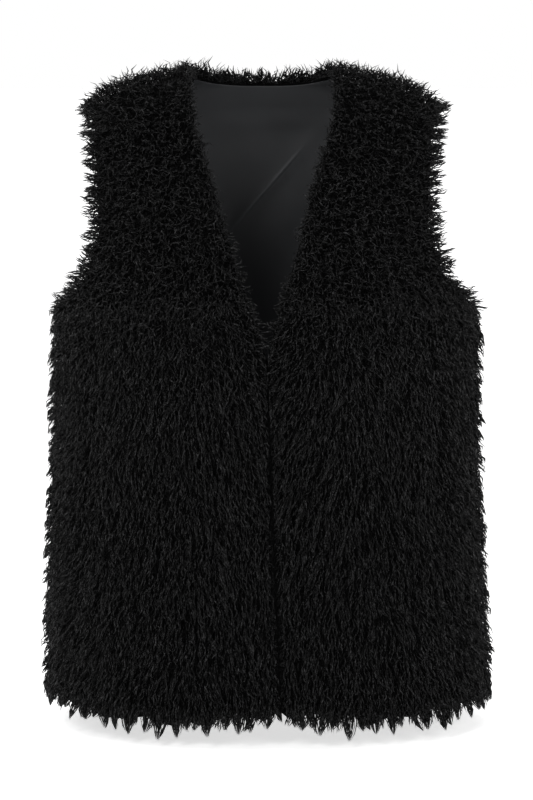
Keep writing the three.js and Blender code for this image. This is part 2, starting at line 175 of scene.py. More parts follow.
# Tufts and fringes past the edges of a cloth. A fringe of loose strands fills in between the tufts.
HEM_TUFTS = {
    "spacing": 10, "strands": 20, "reach": 29, "spread": 10, "lift": (0.4, 0.02), "gathered": 0.88, "fan": 6,
}
HEM_FRINGE = {
    "spacing": 4, "strands": 5, "reach": 21, "spread": 14, "lift": (0.4, 0.05), "gathered": 0.5, "fan": 6,
}
ARM_FRINGE = {
    "spacing": 3.4, "strands": 4, "reach": 22, "spread": 38, "lift": (0.66, 0.46), "gathered": 0.5,
}
NECK_TUFTS = {
    "spacing": 3.8, "strands": 7, "reach": 20, "spread": 34, "lift": (0.3, 0.05), "gathered": 0.75,
}
NECK_FRINGE = {
    "spacing": 2.2, "strands": 4, "reach": 10, "spread": 55, "lift": (0, -0.45), "gathered": 0.2,
}
OPENING_FRINGE = {
    "spacing": 4, "strands": 3, "reach": 8, "spread": 24, "lift": (0.3, 0.1), "gathered": 0.3, "sag": 1.4,
}
V_FRINGE = {
    "spacing": 2.6, "strands": 4, "reach": 11, "spread": 55, "lift": (0.45, 0.1), "gathered": 0.2, "sag": 0.4,
}

# Shares of an edge: the neck on the top of the back, the start of the V on a front's opening, and how far
# past the underarm the fringe of the armhole starts
NECK_SPAN = (0.27, 0.73)
V_START = 0.56
ARM_FRINGE_START = 0.03

# Single locks on the cloth: the strands in each, and how many stand at each side and by the opening
TUFT_STRANDS = 6
SIDE_LOCKS = 60
ROPE_LOCKS = 18


def mix(a, b, t):
    return a + (b - a) * t


def ease(low, high, x):
    """0 below low, 1 above high, and smooth between."""
    t = np.clip((np.asarray(x, float) - low) / (high - low), 0, 1)
    return t * t * (3 - 2 * t)


def bump(t):
    return np.exp(-t * t)


def unit(v):
    return v / np.maximum(np.linalg.norm(v, axis=-1, keepdims=True), 1e-9)


def smooth(table, columns, column):
    """A smooth line through one column of a table by height, without overshoot."""
    rows = sorted(table)
    at = np.array([row[0] for row in rows], float)
    value = np.array([row[columns.index(column)] for row in rows], float)
    step = np.diff(at)
    slope = np.diff(value) / step
    tangent = np.zeros(len(at))
    tangent[0], tangent[-1] = slope[0], slope[-1]
    product = slope[:-1] * slope[1:]
    total = np.where(product > 0, slope[:-1] + slope[1:], 1)
    tangent[1:-1] = np.where(product > 0, 2 * product / total, 0)

    def line(z):
        held = np.clip(z, at[0], at[-1])
        i = np.clip(np.searchsorted(at, held, side="right") - 1, 0, len(at) - 2)
        t = (held - at[i]) / step[i]
        a, b = value[i], value[i + 1]
        ta, tb = tangent[i] * step[i], tangent[i + 1] * step[i]
        return a + t * (ta + t * (3 * (b - a) - 2 * ta - tb + t * (2 * (a - b) + ta + tb)))

    return line


section = {name: smooth(SECTIONS, SECTION_COLUMNS, name) for name in SECTION_COLUMNS[1:]}
neckline = smooth(NECKLINE, NECKLINE_COLUMNS, "half")
armhole = {name: smooth(ARMHOLE, ARMHOLE_COLUMNS, name) for name in ("front", "back")}

# The shoulder seam runs on the ridge of the form
_ridge_heights = np.linspace(SHOULDER_TIP_Z, 0, 400)
_ridge_halves = section["half"](_ridge_heights)


def ridge_z(x):
    return np.interp(-np.asarray(x, float), -_ridge_halves, _ridge_heights)


def lean_at(z):
    return LEAN * np.maximum(0, (LEAN_TOP_Z - z) / (LEAN_TOP_Z - HEM_Z))


def meeting_at(z):
    return section["shift"](z) + lean_at(z)


def form_point(turn, z):
    """A point of the bare form. The turn is 0 at the middle of the front and pi at that of the back."""
    depth = np.where(turn <= QUARTER, section["front"](z), section["back"](z))
    s, c = np.sin(turn), np.cos(turn)
    x = section["half"](z) * np.sign(s) * np.abs(s) ** (2 / section["across"](z))
    y = -depth * np.sign(c) * np.abs(c) ** (2 * section["round"](z))
    return np.stack([x, y, z + 0 * turn], -1)


def fold_depth(side, turn, z):
    total = np.zeros(np.broadcast(turn, z).shape)
    for row in FOLDS:
        fold = dict(zip(FOLD_COLUMNS, row))
        if fold["side"] == side:
            down = np.maximum((fold["top"] - z) / (fold["top"] - fold["foot"]), 0)
            fade = np.sin(math.pi * np.minimum(down, FOLD_FOOT_SHARE)) ** FOLD_FADE
            away = (turn - np.radians(fold["angle"] + fold["drift"] * down)) / math.radians(fold["width"])
            total = total + fold["depth"] * fade * bump(away)
    return total


def station(side, turn, z):
    """Points of the cloth and its outward normals."""
    turn_step, z_step = 0.002, 0.5
    along = form_point(turn + turn_step, z) - form_point(turn - turn_step, z)
    up = form_point(turn, z + z_step) - form_point(turn, z - z_step)
    normal = unit(np.cross(along, up))
    point = form_point(turn, z) - normal * fold_depth(side, turn, z)[..., None]
    point[..., 0] = side * point[..., 0] + section["shift"](z)
    normal[..., 0] *= side
    return point, normal


def turn_at_x(x, z):
    share = np.minimum(1, np.abs(x) / section["half"](z))
    return np.sign(x) * np.arcsin(share ** (section["across"](z) / 2))


def turn_at_reach(face, z):
    reach = np.minimum(1, np.maximum(0, armhole[face](z)) / section[face](z))
    turn = np.where(z <= UNDERARM_Z, QUARTER, np.arccos(reach ** (1 / (2 * section["round"](z)))))
    return turn if face == "front" else math.pi - turn


SIDE_HEM_Z = HEM_Z + HEM_SIDE_RISE
UNDERARM_SHARE = (UNDERARM_Z - SIDE_HEM_Z) / (SHOULDER_TIP_Z - SIDE_HEM_Z)


def rises(rows):
    """Shares of the way up, one of them at the underarm, and closer ones near it and at the shoulder."""
    lower, upper = rows
    eased = 1 - (1 - np.linspace(0, 1, upper + 1) ** 1.7) ** 1.6
    below = UNDERARM_SHARE * np.arange(lower) / lower
    return np.concatenate([below, mix(UNDERARM_SHARE, 1, eased)])


def evenly(side, turn, z, count):
    """Stations at equal distances along each row."""
    point, _ = station(side, turn, z)
    gaps = np.linalg.norm(np.diff(point, axis=1), axis=2)
    arc = np.concatenate([np.zeros((len(gaps), 1)), np.cumsum(gaps, axis=1)], axis=1)
    goals = np.linspace(0, 1, count + 1)
    turns = np.array([np.interp(goals * a[-1], a, t) for a, t in zip(arc, turn)])
    heights = np.array([np.interp(goals * a[-1], a, h) for a, h in zip(arc, z)])
    return station(side, turns, heights)


def shoulder_z(share):
    return ridge_z(mix(NECK_HALF_WIDTH, SHOULDER_HALF_WIDTH, share))


def side_rise(share):
    return HEM_SIDE_RISE * share**3


def front_grid(side, rows, columns):
    """A front, from the opening out to the side, and from the hem up."""
    rise = rises(rows)[:, None]
    share = np.linspace(0, 1, ARC_SAMPLES)[None, :]
    hem = HEM_Z + side_rise(share) + HEM_CORNER_RISE * bump(share / HEM_CORNER_SHARE)
    z = mix(hem, shoulder_z(share), rise)
    first, last = z[:, :1], z[:, -1:]
    inner = turn_at_x(neckline(first) + side * lean_at(first), first)
    outer = turn_at_reach("front", last)
    return evenly(side, mix(inner, outer, share), z, columns)


def half_back_grid(side, rows, columns):
    """Half of the back, from the middle out."""
    rise = rises(rows)[:, None]
    share = np.linspace(0, 1, ARC_SAMPLES)[None, :]
    joint = 0.5
    neck_z = mix(HEM_Z + side_rise(share * joint), NECK_BACK_Z * (1 - share**3), rise)
    side_z = mix(HEM_Z + side_rise(mix(joint, 1, share)), shoulder_z(share), rise)
    joint_x = mix(BACK_NECK_LINE_AT_HEM, NECK_HALF_WIDTH, rise)
    neck_turn = math.pi - turn_at_x(share * joint_x, neck_z)
    side_turn = mix(neck_turn[:, -1:], turn_at_reach("back", side_z[:, -1:]), share)
    neck = evenly(side, neck_turn, neck_z, columns // 2)
    flank = evenly(side, side_turn, side_z, columns // 2)
    return [np.concatenate([a, b[:, 1:]], axis=1) for a, b in zip(neck, flank)]


def back_grid(rows, columns):
    """The back, from the left to the right in front view."""
    left, right = half_back_grid(-1, rows, columns), half_back_grid(1, rows, columns)
    return [np.concatenate([a[:, :0:-1], b], axis=1) for a, b in zip(left, right)]


def lapped(name, point):
    """Carries the sewn edges a little past the seam line, so that no light comes through the seams."""
    way = -SEAM_LAP if name == "back" else SEAM_LAP
    seam = np.abs(point[..., 1]) < 0.1
    point[..., 1] = np.where(seam, way, point[..., 1])
    return point


def beside_opening(name, point):
    """Holds the points of a front on its own side of the opening, but for the lap of the pressed edges."""
    if name == "back":
        return point
    side = -1 if name == "front_left" else 1
    edge = meeting_at(point[..., 2]) - side * FRONT_LAP
    point[..., 0] = np.maximum(point[..., 0], edge) if side > 0 else np.minimum(point[..., 0], edge)
    return point


def grid(name, rows, columns):
    if name == "back":
        return back_grid(rows, columns)
    return front_grid(-1 if name == "front_left" else 1, rows, columns)


def closed_shell(name, outer, inner):
    """A closed thin sheet between two grids of points in millimetres."""
    rows, columns = outer.shape[:2]
    number = np.arange(rows * columns).reshape(rows, columns)
    a, b = number[:-1, :-1].ravel(), number[:-1, 1:].ravel()
    c, d = number[1:, 1:].ravel(), number[1:, :-1].ravel()
    front = np.stack([a, b, c, d], 1)
    back = np.stack([a, d, c, b], 1) + rows * columns
    ring = np.concatenate([number[0, :-1], number[:-1, -1], number[-1, :0:-1], number[:0:-1, 0]])
    after = np.roll(ring, -1)
    rim = np.stack([after, ring, ring + rows * columns, after + rows * columns], 1)
    quads = np.concatenate([front, back, rim])
    i, j = rows // 2, columns // 2
    facing = np.cross(outer[i, j + 1] - outer[i, j], outer[i + 1, j] - outer[i, j])
    if facing @ (outer[i, j] - inner[i, j]) < 0:
        quads = quads[:, ::-1]
    mesh = bpy.data.meshes.new(name)
    points = np.concatenate([outer.reshape(-1, 3), inner.reshape(-1, 3)]) * MM
    mesh.from_pydata(points.tolist(), [], quads.tolist())
    mesh.shade_smooth()
    piece = bpy.data.objects.new(name, mesh)
    bpy.context.scene.collection.objects.link(piece)
    return piece


def rolled(name, point, normal):
    """Adds a row or column past each free edge, so that the ground of the pile rolls round the cut edge."""
    first_way = unit(point[:, :1] - point[:, 1:2])
    last_way = unit(point[:, -1:] - point[:, -2:-1])
    beside_arm = np.where(point[:, -1:, 2:] > UNDERARM_Z + 4, ROLLED_EDGE, 0)
    opening = mix(ROLLED_OPENING, ROLLED_NECK, ease(*V_FOOT, point[:, :1, 2:]))
    first = point[:, :1] + first_way * (beside_arm if name == "back" else opening)
    last = point[:, -1:] + last_way * beside_arm
    point = np.concatenate([first, point, last], axis=1)
    normal = np.concatenate([normal[:, :1], normal, normal[:, -1:]], axis=1)
    teeth = np.random.default_rng(len(name)).uniform(*ROLLED_HEM, (1, point.shape[1], 1))
    hem = point[:1] + unit(point[:1] - point[1:2]) * teeth
    return np.concatenate([hem, point]), np.concatenate([normal[:1], normal])


def fur_shell(name):
    """The cloth under the pile."""
    point, normal = grid(name, SHELL_ROWS, SHELL_COLUMNS)
    point, normal = rolled(name, lapped(name, point), normal)
    outer = beside_opening(name, point + GROUND * normal)
    inner = beside_opening(name, point + GROUND_BACKING * normal)
    if name == "back":
        turned = 1 - ease(NECK_HALF_WIDTH - 9, NECK_HALF_WIDTH - 3, np.abs(point[-1:, :, :1]))
        rise = NECK_TURN["rise"] * turned * np.array([0, 0, 1])
        outer = np.concatenate([outer, outer[-1:] + rise])
        inner = np.concatenate([inner, inner[-1:] + rise - NECK_TURN["over"] * turned * normal[-1:]])
    return closed_shell(f"cloth_{name}", outer, inner)


def crease_lift(point):
    """How far the back lining stands in along its crease and over the slack below it."""
    (low_x, low_z), (high_x, high_z) = CREASE["low"], CREASE["high"]
    run_x, run_z = high_x - low_x, high_z - low_z
    length = math.hypot(run_x, run_z)
    along = ((point[..., 0] - low_x) * run_x + (point[..., 2] - low_z) * run_z) / length
    across = ((point[..., 0] - low_x) * -run_z + (point[..., 2] - low_z) * run_x) / length
    middle = bump((along - length / 2) / (CREASE["reach"] * length))
    slack = np.where(across < 0, SLACK["depth"] * bump((across + SLACK["below"]) / SLACK["width"]), 0)
    return middle * (CREASE["height"] * bump(across / CREASE["width"]) + slack)


def lining_shell(name):
    if name == "back":
        point, normal = grid(name, LINING_BACK_ROWS, LINING_BACK_COLUMNS)
    else:
        point, normal = grid(name, SHELL_ROWS, SHELL_COLUMNS)
    point = lapped(name, point)
    slack = UNDERARM_SLACK["depth"] * bump((point[..., 2] - UNDERARM_Z) / UNDERARM_SLACK["height"])
    lift = crease_lift(point) if name == "back" else 0
    over = -(LINING_CLEARANCE + slack + lift)[..., None]
    outer = beside_opening(name, point + over * normal)
    inner = beside_opening(name, point + (over - LINING_WALL) * normal)
    return closed_shell(f"satin_{name}", outer, inner)


class Field:
    """A fine grid of one cloth, read at any row and column between its points."""

    def __init__(self, name):
        self.name = name
        self.point, self.normal = grid(name, FINE_ROWS, FINE_COLUMNS)
        self.rows, self.columns = self.point.shape[0] - 1, self.point.shape[1] - 1
        up = np.gradient(self.point, axis=0)
        across = np.gradient(self.point, axis=1)
        along_rows = unit(-up + self.normal * np.sum(up * self.normal, -1, keepdims=True))
        plumb = unit(self.normal * self.normal[..., 2:] - np.array([0, 0, 1]))
        above = ease(PLUMB_BELOW - PLUMB_BAND, PLUMB_BELOW, self.point[..., 2:])
        self.down = unit(mix(plumb, along_rows, above))
        across = across - self.down * np.sum(across * self.down, -1, keepdims=True)
        self.across = unit(across - self.normal * np.sum(across * self.normal, -1, keepdims=True))
        gaps = np.linalg.norm(np.diff(self.point, axis=1), axis=2)
        self.width = gaps.sum(1)
        middle = self.columns // 2 if name != "back" else self.columns // 4
        rise = np.linalg.norm(np.diff(self.point[:, middle], axis=0), axis=1)
        self.climb = np.concatenate([[0], np.cumsum(rise)])

    def read(self, values, row, column):
        i = np.clip(row.astype(int), 0, self.rows - 1)
        j = np.clip(column.astype(int), 0, self.columns - 1)
        s, t = (row - i)[:, None], (column - j)[:, None]
        low = mix(values[i, j], values[i, j + 1], t)
        high = mix(values[i + 1, j], values[i + 1, j + 1], t)
        return mix(low, high, s)

    def strewn(self, spacing, rng):
        """Places at about that spacing all over the cloth, each as a row and a column."""
        bands = round(self.climb[-1] / spacing)
        step = self.climb[-1] / bands
        rows, columns = [], []
        for band in range(bands):
            row = np.interp((band + 0.5) * step, self.climb, np.arange(self.rows + 1))
            count = max(1, round(np.interp(row, np.arange(self.rows + 1), self.width) / spacing))
            columns.append((np.arange(count) + rng.random(count)) / count * self.columns)
            heights = (band + rng.random(count)) * step
            rows.append(np.interp(heights, self.climb, np.arange(self.rows + 1)))
        return np.concatenate(rows), np.concatenate(columns)


def ripple(point, scale, seed):
    """A smooth number from -1 to 1 that drifts over the cloth, on a scale in millimetres."""
    rng = np.random.default_rng(seed)
    total = np.zeros(len(point))
    for _ in range(5):
        way = unit(rng.normal(size=3)) / scale * rng.uniform(0.7, 1.5)
        total += np.sin(2 * math.pi * (point @ way) + rng.uniform(0, 2 * math.pi))
    return total / 3.2


def lay_of_pile(field, point, share):
    """The angle in degrees that the pile leans outward from straight down, negative towards the middle.
    share is 0 at the opening or the middle of the back, and 1 at the side."""
    z = point[:, 2]
    if field.name == "back":
        lean = 14 * ease(0.35, 1, share)
    else:
        near_opening = 1 - ease(0, 0.38, share)
        lean = -19 * near_opening * ease(-130, -250, z) * (1 - ease(-390, -450, z))
        lean = lean - 7 * near_opening * ease(-400, -460, z) + 19 * ease(0.42, 1, share)
    return lean + 11 * ripple(point, 70, 5)


def streaks(point, reach, lean):
    """Long ridges and grooves of the pile that run along its lay, from -1 in a groove to 1 on a ridge.
    reach is the distance across the cloth, and lean the angle of the lay in radians."""
    z = point[:, 2]
    across = reach + (z - STREAK["level"]) * np.tan(lean)
    total = 0
    for wave, turn in zip(STREAK["waves"], (0.0, 1.9, 4.1)):
        sway = 1.6 * np.sin(2 * math.pi * z / STREAK["run"] + across / 9 + turn)
        total = total + np.sin(2 * math.pi * across / wave + sway + turn)
    return np.clip(total / 1.7, -1, 1)


def wildness(z):
    """How randomly the pile curls: 0 on the body, 1 on the chest and the shoulders."""
    return ease(WILD_FROM, WILD_TO, z)


def strand_lines(root, normal, flow, rng, length, lift, knots, curl):
    """Centre lines of strands that rise from the cloth and bend over along the flow, curling as they go.
    lift holds how steeply they stand at the root and at the tip."""
    count = len(root)
    start = unit(mix(flow, normal, lift[0][:, None]))
    end = unit(mix(flow, normal, lift[1][:, None]))
    points = [root]
    step = (length / knots)[:, None]
    for k in range(knots):
        points.append(points[-1] + step * unit(mix(start, end, ((k + 0.5) / knots) ** 0.8)))
    line = np.stack(points, 1)
    side = unit(np.cross(flow, normal))
    over = unit(np.cross(side, unit(end + start)))
    phase, turns = rng.uniform(0, 2 * math.pi, count), rng.uniform(0.9, 1.7, count)
    for k in range(1, knots + 1):
        angle = phase + 2 * math.pi * turns * k / knots
        reach = (curl * min(1, k / knots / 0.4))[:, None]
        line[:, k] += reach * (np.cos(angle)[:, None] * side + np.sin(angle)[:, None] * over)
    return line


def gather(line, lock, share):
    """Draws the strands of each lock together towards their tips."""
    count = lock.max() + 1
    sums = np.zeros((count, 3))
    np.add.at(sums, lock, line[:, -1])
    size = np.maximum(np.bincount(lock, minlength=count), 1)[:, None]
    pull = (sums / size)[lock] - line[:, -1]
    t = np.linspace(0, 1, line.shape[1]) ** 1.6
    return line + pull[:, None, :] * (t[None, :, None] * np.asarray(share)[:, None, None])


def tangent_turn(flow, normal, degrees):
    """The flow turned in the cloth by an angle."""
    angle = np.radians(degrees)[:, None]
    return flow * np.cos(angle) + np.cross(normal, flow) * np.sin(angle)


def over_free_edges(field, flow, row, z, share, to_edge, to_v, down, outward):
    """Leans the pile out over a free edge: the armhole, the V neck and the back of the neck."""
    over_arm = np.where(z > UNDERARM_Z + 12, np.exp(-to_edge / 9), 0)[:, None]
    flow = flow + 1.6 * over_arm * outward
    if field.name == "back":
        top = (field.climb[-1] - np.interp(row, np.arange(field.rows + 1), field.climb))
        on_neck = np.where(share < 0.48, np.exp(-top / 10), 0)[:, None]
        flow = flow - 2.4 * on_neck * down
    else:
        over_v = np.where(z > -300, np.exp(-to_v / 9), 0)[:, None]
        flow = flow - 1.1 * over_v * outward
    return unit(flow)


def body_strands(field, rng, spacing):
    """Single strands strewn over a whole cloth."""
    row, column = field.strewn(spacing, rng)
    point = field.read(field.point, row, column)
    normal = unit(field.read(field.normal, row, column))
    down = unit(field.read(field.down, row, column))
    across = unit(field.read(field.across, row, column))
    width = np.interp(row, np.arange(field.rows + 1), field.width)
    part = column / field.columns
    if field.name == "back":
        share = np.abs(2 * part - 1)
        outward = across * np.sign(part - 0.5)[:, None]
        to_edge = np.minimum(part, 1 - part) * width
    else:
        share, outward, to_edge = part, across, (1 - part) * width
    z = point[:, 2]
    wild = wildness(z)
    lay = np.radians(lay_of_pile(field, point, share))
    flow = down * np.cos(lay)[:, None] + outward * np.sin(lay)[:, None]
    reach = (share / 2 if field.name == "back" else share) * width
    ridge = streaks(point, reach, lay) * (1 - wild)
    flow = over_free_edges(field, flow, row, z, share, to_edge, part * width, down, outward)
    spread = mix(*PILE["spread"], wild)
    flow = tangent_turn(flow, normal, spread * rng.normal(size=len(flow)) * 0.75)

    # No strand grows in the grooves between the streaks
    kept = np.flatnonzero(ridge > STREAK["groove"])
    count = len(kept)
    scatter = rng.normal(size=(count, 2)) * spacing * 0.3
    normal, down, across, wild = normal[kept], down[kept], across[kept], wild[kept]
    ridge_height = STREAK["height"] * np.maximum(ridge[kept], 0)
    height = 0.5 + rng.random(count) * mix(*PILE["height"], wild) + ridge_height
    root = point[kept] + normal * height[:, None] + scatter[:, :1] * down + scatter[:, 1:] * across
    flow = tangent_turn(flow[kept], normal, rng.normal(size=count) * mix(*PILE["jitter"], wild))
    own = rng.uniform(0.85, 1.15, len(point))[kept]
    high = ease(-90, -30, z[kept])
    length = (mix(*PILE["length"], wild) + 2 * high) * own * rng.uniform(0.75, 1.2, count)
    lift = (mix(*PILE["root_lift"], wild) + 0.08 * rng.normal(size=count),
            mix(*PILE["tip_lift"], wild) + 0.18 * high + 0.12 * rng.normal(size=count))
    curl = mix(*PILE["curl"], wild) * rng.uniform(0.6, 1.3, count)
    return root, normal, flow, length, lift, curl, np.arange(count), np.zeros(count)


def tufts(field, rng, row, column, lean, length, lift):
    """Single gathered locks at given rows and columns, each leaning outward by its angle in degrees."""
    count = len(row)
    point = field.read(field.point, row, column)
    down, normal, outward = (
        unit(field.read(values, row, column)) for values in (field.down, field.normal, field.across))
    if field.name == "back":
        outward = outward * np.sign(column / field.columns - 0.5)[:, None]
    angle = np.radians(lean)[:, None]
    flow = unit(down * np.cos(angle) + outward * np.sin(angle))
    lock = np.repeat(np.arange(count), TUFT_STRANDS)
    total = len(lock)
    normal, flow = normal[lock], tangent_turn(flow[lock], normal[lock], rng.normal(size=total) * 4)
    scatter = rng.normal(size=(total, 2)) * (2.6, 1.3)
    root = point[lock] + normal * rng.uniform(3, 7, total)[:, None]
    root = root + scatter[:, :1] * down[lock] + scatter[:, 1:] * outward[lock]
    length = length[lock] * rng.uniform(0.9, 1.1, total)
    lifts = (lift[0] + 0.05 * rng.normal(size=total), lift[1] + 0.05 * rng.normal(size=total))
    return root, normal, flow, length, lifts, rng.uniform(0.8, 1.5, total), lock, np.full(total, 0.9)


def rope_locks(field, rng, count):
    """A few long twisted locks beside the opening that slant towards it."""
    row = rng.uniform(0.12, 0.85, count) * UNDERARM_ROW
    column = rng.uniform(0.03, 0.3, count) * field.columns
    lean, length = rng.uniform(-30, -12, count), rng.uniform(26, 38, count)
    return tufts(field, rng, row, column, lean, length, (0.42, 0.08))


def side_locks(field, rng, count, side):
    """Locks that stand out from the side of the body."""
    row = rng.uniform(0.03, 0.96, count) * UNDERARM_ROW
    column = np.abs((side == "first") - rng.uniform(0.88, 1, count)) * field.columns
    lean, length = rng.uniform(0, 24, count), rng.uniform(15, 22, count)
    return tufts(field, rng, row, column, lean, length, (0.6, 0.32))


def edge_path(field, edge):
    """The points, normals and ways out of one edge of a cloth, with the distance along it."""
    every = slice(None)
    pick, out = {
        "hem": ((0, every), field.down), "top": ((-1, every), -field.down),
        "first": ((every, 0), -field.across), "last": ((every, -1), field.across),
    }[edge]
    point, normal, way = field.point[pick], field.normal[pick], out[pick]
    gaps = np.linalg.norm(np.diff(point, axis=0), axis=1)
    return point, normal, way, np.concatenate([[0], np.cumsum(gaps)])


def edge_locks(field, rng, edge, span, spacing, strands, reach, spread, lift, gathered, fan=0, sag=0):
    """Locks that stand out past one edge of a cloth, between two shares of its length. fan turns them
    towards the sides by an angle in degrees, and sag lets them droop."""
    point, normal, way, distance = edge_path(field, edge)
    first, last = (share * distance[-1] for share in span)
    count = max(2, round((last - first) / spacing))
    at = first + (np.arange(count) + rng.random(count)) * (last - first) / count
    lock = np.repeat(np.arange(count), strands)
    total = len(lock)
    place = np.clip(at[lock] + rng.normal(size=total) * spacing * 0.42, first, last)

    def read(values):
        return np.stack([np.interp(place, distance, values[:, k]) for k in range(3)], 1)

    root, normal = read(point), unit(read(normal))
    way = unit(read(way) + np.array([0, 0, -sag]))
    root = root + normal * rng.uniform(0.4, 7, total)[:, None] - way * rng.uniform(0, 5, total)[:, None]
    turn = (rng.normal(size=count) * spread)[lock] + rng.normal(size=total) * spread * 0.45
    outward = np.sign(root[:, 0] * np.cross(normal, way)[:, 0]) if fan else 0
    flow = tangent_turn(way, normal, turn + fan * outward)
    length = reach * rng.uniform(0.7, 1.15, count)[lock] * rng.uniform(0.8, 1.1, total)
    lifts = (lift[0] + 0.1 * rng.normal(size=total), lift[1] + 0.12 * rng.normal(size=total))
    curl = rng.uniform(0.5, 1.3, total)
    return root, normal, flow, length, lifts, curl, lock, np.full(total, gathered)


def strand_points(line, normal, radius, rng):
    """The corners of three-sided, knobbly, twisted strands round their lines, and the tip of each."""
    count, knots = line.shape[0], line.shape[1] - 1
    tangent = unit(np.gradient(line, axis=1))
    a = unit(np.cross(tangent, normal[:, None, :] + 0.01))
    b = np.cross(tangent, a)
    k = np.arange(knots)
    shape = np.interp(k / knots, [0, 0.3, 0.7, 1], [0.8, 1.05, 0.95, 0.62])
    knob = shape[None, :] * rng.uniform(0.65, 1.3, (count, knots)) * radius[:, None]
    twist = rng.uniform(0, 2 * math.pi, (count, 1)) + k[None, :] * rng.uniform(0.5, 1.3, (count, 1))
    corners = []
    for side in range(3):
        angle = 2 * math.pi * side / 3
        u, v = math.cos(angle), 0.72 * math.sin(angle)
        along_a = u * np.cos(twist) - v * np.sin(twist)
        along_b = u * np.sin(twist) + v * np.cos(twist)
        offset = along_a[..., None] * a[:, :-1] + along_b[..., None] * b[:, :-1]
        corners.append(line[:, :-1] + offset * knob[..., None])
    ring = np.stack(corners, 2).reshape(count, knots * 3, 3)
    return np.concatenate([ring, line[:, -1:]], axis=1)


def strand_faces(knots):
    """The triangles of one closed strand, and their corners on its own patch of the texture map."""
    faces, maps = [[2, 1, 0]], [[(0, 0), (0.5, 0), (1, 0)]]
    for k in range(knots - 1):
        for side in range(3):
            c, d = 3 * k + side, 3 * k + (side + 1) % 3
            low, high, left, right = k / knots, (k + 1) / knots, side / 3, (side + 1) / 3
            faces += [[c, d, d + 3], [c, d + 3, c + 3]]
            maps.append([(left, low), (right, low), (right, high)])
            maps.append([(left, low), (right, high), (left, high)])
    for side in range(3):
        c, d = 3 * (knots - 1) + side, 3 * (knots - 1) + (side + 1) % 3
        low = (knots - 1) / knots
        faces.append([c, d, 3 * knots])
        maps.append([(side / 3, low), ((side + 1) / 3, low), ((side + 0.5) / 3, 1)])
    return np.array(faces), np.array(maps)


def pile_mesh(name, batches, rng):
    """One mesh of strands, from batches of centre lines that share a number of knots."""
    across = math.ceil(math.sqrt(sum(len(line) for line, _, _ in batches)))
    points, corners, maps, first_point, first_strand = [], [], [], 0, 0
    for line, normal, radius in batches:
        count, knots = line.shape[0], line.shape[1] - 1
        faces, patch = strand_faces(knots)
        made = strand_points(line, normal, radius, rng).reshape(-1, 3)
        start = first_point + np.arange(count) * (3 * knots + 1)
        corners.append((faces[None] + start[:, None, None]).reshape(-1))
        strand = first_strand + np.arange(count)
        cell = np.stack([strand % across, strand // across], 1)
        maps.append(((cell[:, None, None, :] + 0.06 + 0.88 * patch[None]) / across).reshape(-1, 2))
        points.append(made)
        first_point += len(made)
        first_strand += count
    points, corners, maps = np.concatenate(points), np.concatenate(corners), np.concatenate(maps)

    mesh = bpy.data.meshes.new(name)
    mesh.vertices.add(len(points))
    mesh.vertices.foreach_set("co", (points * MM).astype(np.float32).ravel())
    mesh.loops.add(len(corners))
    mesh.loops.foreach_set("vertex_index", corners.astype(np.int32))
    polygons = len(corners) // 3
    mesh.polygons.add(polygons)
    mesh.polygons.foreach_set("loop_start", np.arange(polygons, dtype=np.int32) * 3)
    mesh.polygons.foreach_set("loop_total", np.full(polygons, 3, np.int32))
    layer = mesh.uv_layers.new(name="OFBake")
    layer.data.foreach_set("uv", maps.astype(np.float32).ravel())
    mesh.update(calc_edges=True)
    mesh.shade_smooth()
    piece = bpy.data.objects.new(name, mesh)
    bpy.context.scene.collection.objects.link(piece)
    return piece


def off_the_groove(cloth, line):
    """Keeps the strands of a front on their own side of the groove where the two fronts meet."""
    if cloth == "back":
        return line
    side = -1 if cloth == "front_left" else 1
    z = line[..., 2]
    edge = meeting_at(z) + side * OPENING_GROOVE * (1 + 0.8 * np.sin(z / 7) * np.sin(z / 23 + 1))
    past = side * (line[..., 0] - edge) < 0
    line[..., 0] = np.where(past & (z < OPENING_TOP), edge, line[..., 0])
    return line


def grown(cloth, group, rng, knots):
    """The centre lines, normals and radii of one group of strands."""
    root, normal, flow, length, lift, curl, lock, gathered = group
    line = gather(strand_lines(root, normal, flow, rng, length, lift, knots, curl), lock, gathered)
    line = off_the_groove(cloth, line)
    return line, normal, STRAND_RADIUS * rng.uniform(0.75, 1.2, len(line))


def fur(cloth, names, groups, rng):
    """The pile of one cloth, split by height into as many pieces as there are names, the lowest first. The
    first group is the body of the pile, and the others are its edges and its single locks."""
    knots = [BODY_KNOTS] + [EDGE_KNOTS] * (len(groups) - 1)
    batches = [grown(cloth, group, rng, count) for group, count in zip(groups, knots)]
    heights = np.concatenate([line[:, 0, 2] for line, _, _ in batches])
    limits = [-np.inf, *np.quantile(heights, np.arange(1, len(names)) / len(names)), np.inf]
    pieces = []
    for name, low, high in zip(names, limits, limits[1:]):
        picked = []
        for line, normal, radius in batches:
            here = (line[:, 0, 2] >= low) & (line[:, 0, 2] < high)
            if here.any():
                picked.append((line[here], normal[here], radius[here]))
        pieces.append(pile_mesh(name, picked, rng))
    return pieces


# Noise scales of the fibre's grain, whose grey specks are partly painted glints, glossy flecks and ridges, the
# height of the ridges in metres, and those of the satin's clouds, wrinkles and twill
GRAIN_SCALE = 500
FLECK_SCALE = 430
FIBRE_SCALE = 700
FIBRE_HEIGHT = 0.002
CLOUD_SCALE = 14
WRINKLE_SCALE = 26
WRINKLE_HEIGHT = 0.004
TWILL_SCALE = 900
TWILL_HEIGHT = 0.0002

# The satin's colours, and the crisp line of the crease: its painted highlight, its width and height in metres,
# and the shares of its length from the middle between which it fades out
SATIN_DARK = (0.018, 0.019, 0.0208)
SATIN_LIGHT = (0.0225, 0.0235, 0.0258)
CREASE_PAINTED_HIGHLIGHT = (0.04, 0.042, 0.045, 1)
CREASE_WIDTH = 0.0028
CREASE_HEIGHT = 0.0008
CREASE_FADE = (0.3, 0.62)


